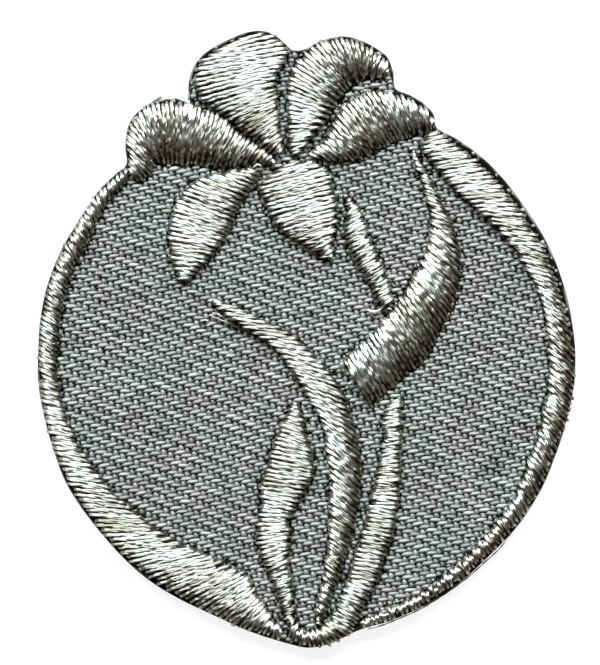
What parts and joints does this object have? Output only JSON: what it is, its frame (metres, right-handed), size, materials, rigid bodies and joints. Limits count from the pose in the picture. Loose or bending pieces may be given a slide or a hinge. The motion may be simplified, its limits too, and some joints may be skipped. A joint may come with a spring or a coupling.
{
  "type": "embroidered applique patch",
  "caption": "Flat round applique patch of grey twill with a satin-stitched flower breaking its top edge, curved leaves and stems, and a satin-stitched rim.",
  "frame": {"origin": "middle of the cut outline, on the back face that the patch rests on", "axes": "+Y towards the flower, along the longest extent; +Z out of the stitched face, along the shortest extent; +X to the right as the stitched face is seen"},
  "size_m": [0.0458, 0.0526, 0.0017],
  "materials": {
    "ground_twill": "grey 2/1 twill, matte with a slight lustre on the floats",
    "satin_thread": "lustrous pale sage embroidery thread laid as satin stitch"
  },
  "bodies": {
    "root": {"ground_twill": "ground_twill", "border_left": "satin_thread", "border_right": "satin_thread", "petal_left": "satin_thread", "petal_upper_left": "satin_thread", "petal_upper_right": "satin_thread", "petal_right": "satin_thread", "petal_lower_left": "satin_thread", "petal_lower_centre": "satin_thread", "leaf_short": "satin_thread", "leaf_hook": "satin_thread", "leaf_long": "satin_thread", "leaf_low": "satin_thread", "stem_right": "satin_thread", "base_tack": "satin_thread"}
  },
  "joints": []
}
